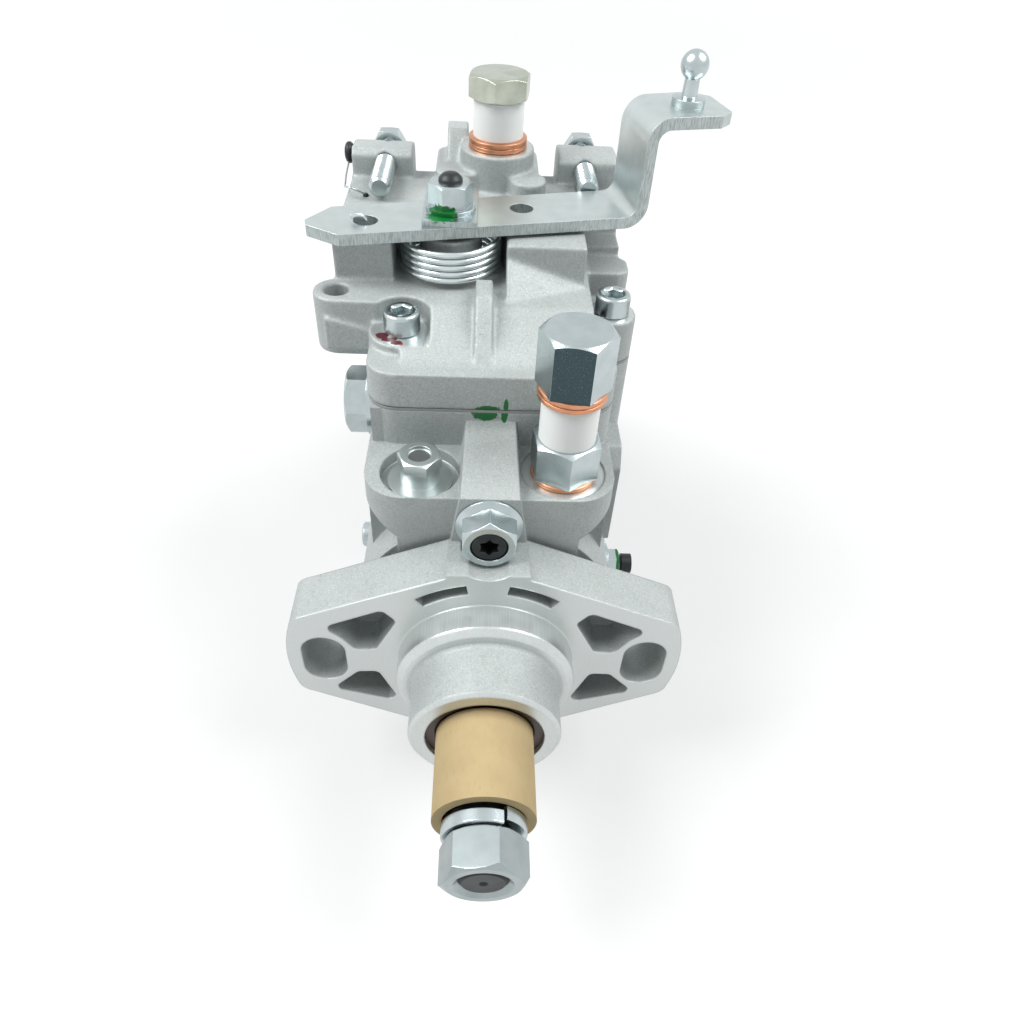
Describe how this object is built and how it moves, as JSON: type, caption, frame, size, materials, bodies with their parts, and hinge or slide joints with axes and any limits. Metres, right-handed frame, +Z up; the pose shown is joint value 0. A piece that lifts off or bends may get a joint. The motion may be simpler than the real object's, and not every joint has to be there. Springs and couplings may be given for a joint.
{
  "type": "diesel injection pump",
  "caption": "Rotary distributor injection pump: cast body with a two-bolt flange, tapered drive shaft, sprung throttle lever, banjo fuel ports and rear delivery valves.",
  "frame": {"origin": "centre of the pilot spigot on the flange's mounting face", "axes": "-Y out of the drive end, +Z up towards the governor cover, +X to the right seen from the drive end"},
  "size_m": [0.1203, 0.2593, 0.1928],
  "materials": {
    "cast": "fine as-cast and shot-blasted, with machined faces",
    "gasket": "dark joint ring",
    "zinc": "bright zinc plate",
    "steel": "ground steel",
    "black_steel": "black oxide",
    "copper": "bare copper",
    "bronze": "plain bearing bronze",
    "nylon": "translucent white nylon",
    "card": "plain brown card tube",
    "rubber": "dark brown seal"
  },
  "bodies": {
    "pump_body": {"pump_housing": "cast", "cover_gasket": "gasket", "governor_cover": "cast", "cover_screws": "zinc", "idle_screw": "zinc", "speed_screw": "zinc", "locknuts": "zinc", "copper_washers": "copper", "nylon_sleeves": "nylon", "inlet_connector": "zinc", "inlet_bolt": "zinc", "overflow_bolt": "zinc", "regulating_valve": "steel", "governor_shaft": "black_steel", "governor_nut": "zinc", "side_plug": "zinc", "timer_cover_left": "zinc", "timer_cover_right": "zinc", "timer_cover_screws": "zinc", "timer_spring": "steel", "timer_adjuster": "black_steel", "plunger_springs": "steel", "oil_seal": "rubber", "shaft_bush": "bronze", "vane_ring": "steel", "vane_plate": "steel", "distributor_head": "steel", "head_bolts": "zinc", "delivery_holders": "zinc", "head_plug": "zinc", "stop_solenoid": "zinc"},
    "shaft": {"drive_shaft": "black_steel", "shaft_nut": "zinc", "spring_washer": "zinc", "taper_sleeve": "card", "vane_rotor": "steel", "vanes": "steel", "drive_gear": "steel", "cross_disc": "steel"},
    "plunger": {"cam_plate": "steel", "plunger": "steel"},
    "governor": {"governor_gear": "steel"},
    "slider": {"governor_sleeve": "steel"},
    "arm": {"governor_lever": "steel"},
    "control": {"control_sleeve": "steel"},
    "throttle": {"throttle_shaft": "black_steel", "throttle_lever": "zinc", "lever_stop_plate": "zinc", "lever_nut": "zinc", "lever_return_spring": "zinc", "ball_stud": "zinc", "governor_spring": "steel"},
    "timer": {"timer_piston": "steel"},
    "rollers": {"roller_ring": "steel", "rollers": "steel"},
    "valves": {"delivery_valves": "steel"},
    "flyweight_1": {"flyweight_1": "steel"},
    "flyweight_2": {"flyweight_2": "steel"},
    "flyweight_3": {"flyweight_3": "steel"},
    "flyweight_4": {"flyweight_4": "steel"}
  },
  "joints": [
    {"name": "shaft_spin", "type": "hinge", "parent": "pump_body", "child": "shaft", "pos_m": [0, 0, 0], "axis": [0, 1, 0], "continuous": true},
    {"name": "plunger_stroke", "type": "slide", "parent": "shaft", "child": "plunger", "axis": [0, -1, 0], "range_m": [0, 0.0022]},
    {"name": "governor_spin", "type": "hinge", "parent": "pump_body", "child": "governor", "pos_m": [0, 0.0495, 0.04275], "axis": [0, 1, 0], "continuous": true},
    {"name": "slider_travel", "type": "slide", "parent": "pump_body", "child": "slider", "axis": [0, 1, 0], "range_m": [0, 0.0024]},
    {"name": "governor_lever_swing", "type": "hinge", "parent": "pump_body", "child": "arm", "pos_m": [0, 0.101, 0.027], "axis": [-1, 0, 0], "range_deg": [0, 10.5]},
    {"name": "control_sleeve_travel", "type": "slide", "parent": "pump_body", "child": "control", "axis": [0, -1, 0], "range_m": [0, 0.0033]},
    {"name": "throttle_swing", "type": "hinge", "parent": "pump_body", "child": "throttle", "pos_m": [-0.0125, 0.0832, 0.09], "axis": [0, 0, -1], "range_deg": [0, 26], "stiffness_Nm_per_rad": 0.15, "springref_deg": -28.65},
    {"name": "timer_travel", "type": "slide", "parent": "pump_body", "child": "timer", "axis": [1, 0, 0], "range_m": [0, 0.007]},
    {"name": "roller_ring_advance", "type": "hinge", "parent": "pump_body", "child": "rollers", "pos_m": [0, 0.0765, 0], "axis": [0, -1, 0], "range_deg": [0, 9.7]},
    {"name": "delivery_valve_lift", "type": "slide", "parent": "pump_body", "child": "valves", "axis": [0, 1, 0], "range_m": [0, 0.0015]},
    {"name": "flyweight_1_swing", "type": "hinge", "parent": "governor", "child": "flyweight_1", "pos_m": [0.00919, 0.0565, 0.05194], "axis": [0.7071, 0, -0.7071], "range_deg": [0, 18.5]},
    {"name": "flyweight_2_swing", "type": "hinge", "parent": "governor", "child": "flyweight_2", "pos_m": [-0.00919, 0.0565, 0.05194], "axis": [0.7071, 0, 0.7071], "range_deg": [0, 18.5]},
    {"name": "flyweight_3_swing", "type": "hinge", "parent": "governor", "child": "flyweight_3", "pos_m": [-0.00919, 0.0565, 0.03356], "axis": [-0.7071, 0, 0.7071], "range_deg": [0, 18.5]},
    {"name": "flyweight_4_swing", "type": "hinge", "parent": "governor", "child": "flyweight_4", "pos_m": [0.00919, 0.0565, 0.03356], "axis": [-0.7071, 0, -0.7071], "range_deg": [0, 18.5]}
  ],
  "couplings": [
    {"joint": "governor_spin", "follows": "shaft_spin", "ratio": -1.4783},
    {"joint": "governor_lever_swing", "follows": "slider_travel", "rad_per_m": 72.722},
    {"joint": "control_sleeve_travel", "follows": "slider_travel", "ratio": 1.3},
    {"joint": "roller_ring_advance", "follows": "timer_travel", "rad_per_m": 23.81},
    {"joint": "flyweight_1_swing", "follows": "slider_travel", "rad_per_m": 130.9},
    {"joint": "flyweight_2_swing", "follows": "slider_travel", "rad_per_m": 130.9},
    {"joint": "flyweight_3_swing", "follows": "slider_travel", "rad_per_m": 130.9},
    {"joint": "flyweight_4_swing", "follows": "slider_travel", "rad_per_m": 130.9}
  ]
}
